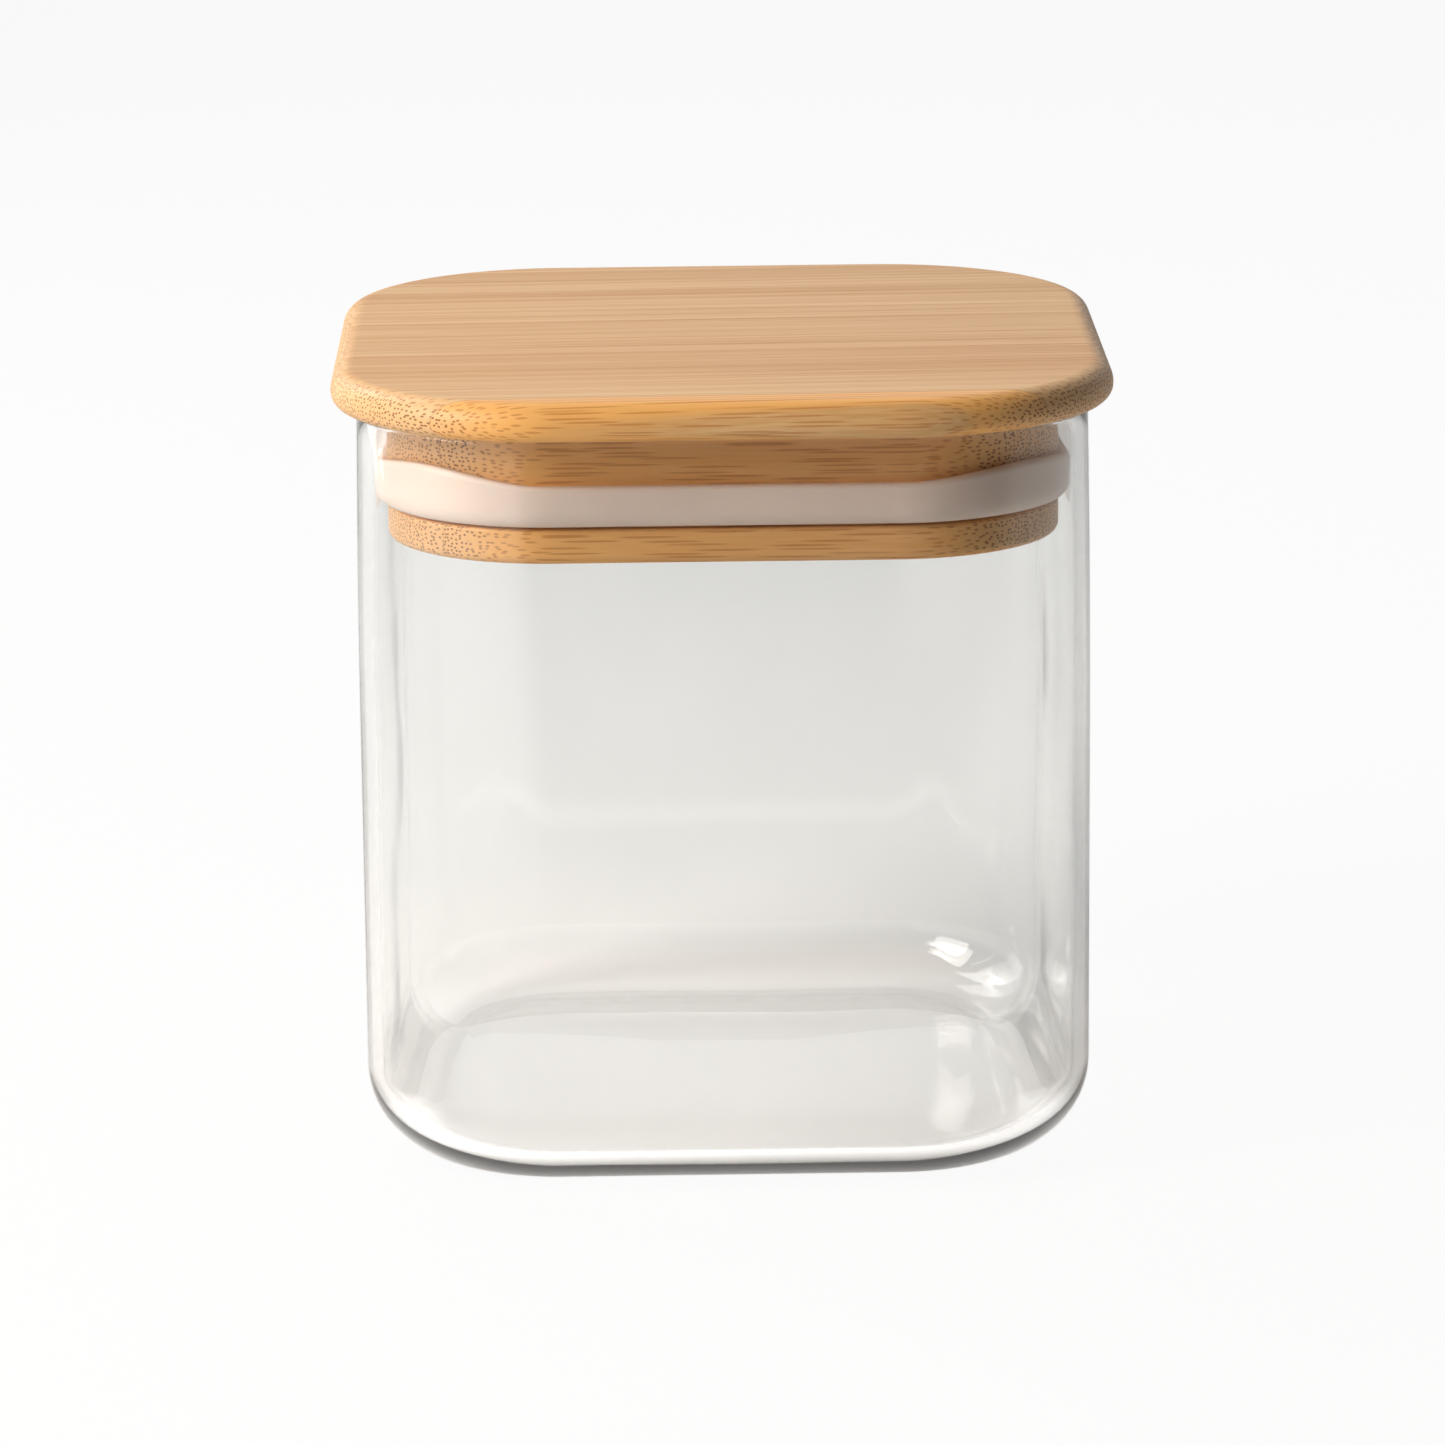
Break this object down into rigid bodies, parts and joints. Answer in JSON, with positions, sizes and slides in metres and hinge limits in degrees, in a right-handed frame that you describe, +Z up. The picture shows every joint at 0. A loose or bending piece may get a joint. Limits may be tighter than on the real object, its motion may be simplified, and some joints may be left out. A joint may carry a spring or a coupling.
{
  "type": "lidded glass canister",
  "caption": "Square clear glass storage canister with rounded corners and a lift-off laminated bamboo lid, whose plug carries a silicone seal.",
  "frame": {"origin": "centre of the jar's flat base, on the surface it stands on", "axes": "+Z up, the way the lid lifts; the lid's bamboo grain runs along X; -Y is the front"},
  "size_m": [0.106, 0.106, 0.11],
  "materials": {
    "clear_glass": "clear, polished, with a fire-polished rim",
    "silicone": "translucent white, satin",
    "bamboo": "oiled, satin, upright laminated strips"
  },
  "bodies": {
    "jar": {"glass_jar": "clear_glass"},
    "lid": {"board_strip_01": "bamboo", "board_strip_02": "bamboo", "board_strip_03": "bamboo", "board_strip_04": "bamboo", "board_strip_05": "bamboo", "board_strip_06": "bamboo", "board_strip_07": "bamboo", "board_strip_08": "bamboo", "board_strip_09": "bamboo", "board_strip_10": "bamboo", "board_strip_11": "bamboo", "board_strip_12": "bamboo", "board_strip_13": "bamboo", "board_strip_14": "bamboo", "plug_strip_01": "bamboo", "plug_strip_02": "bamboo", "plug_strip_03": "bamboo", "plug_strip_04": "bamboo", "plug_strip_05": "bamboo", "plug_strip_06": "bamboo", "plug_strip_07": "bamboo", "plug_strip_08": "bamboo", "plug_strip_09": "bamboo", "plug_strip_10": "bamboo", "plug_strip_11": "bamboo", "plug_strip_12": "bamboo", "seal_ring": "silicone"}
  },
  "joints": [
    {"name": "lid_lift", "type": "slide", "parent": "jar", "child": "lid", "axis": [0, 0, 1], "range_m": [0, 0.06]}
  ]
}
